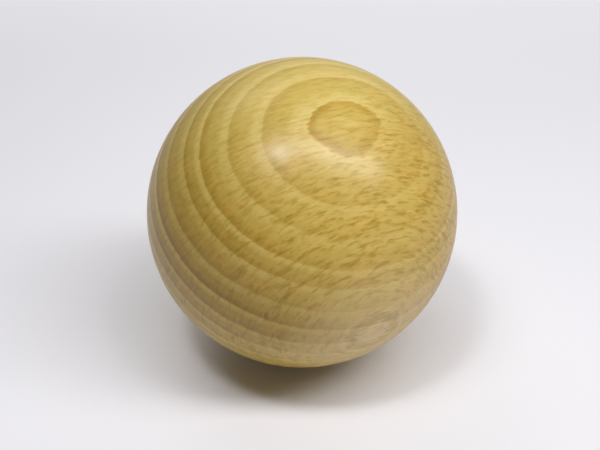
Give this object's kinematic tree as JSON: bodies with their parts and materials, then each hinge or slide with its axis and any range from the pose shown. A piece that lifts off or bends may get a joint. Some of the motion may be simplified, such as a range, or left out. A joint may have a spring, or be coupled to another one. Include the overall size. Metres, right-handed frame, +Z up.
{
  "type": "wooden ball",
  "caption": "Plain solid beech ball, undrilled, turned and sanded smooth with a clear satin finish, for use as a knob blank, weight, roller or model part.",
  "frame": {"origin": "centre of the ball", "axes": "+Z up as the ball lies on a table; the grain of the wood runs roughly along +X; the ball itself is the same about every axis"},
  "size_m": [0.05, 0.05, 0.05],
  "materials": {
    "beech_wood": "clear satin"
  },
  "bodies": {
    "root": {"ball": "beech_wood"}
  },
  "joints": []
}
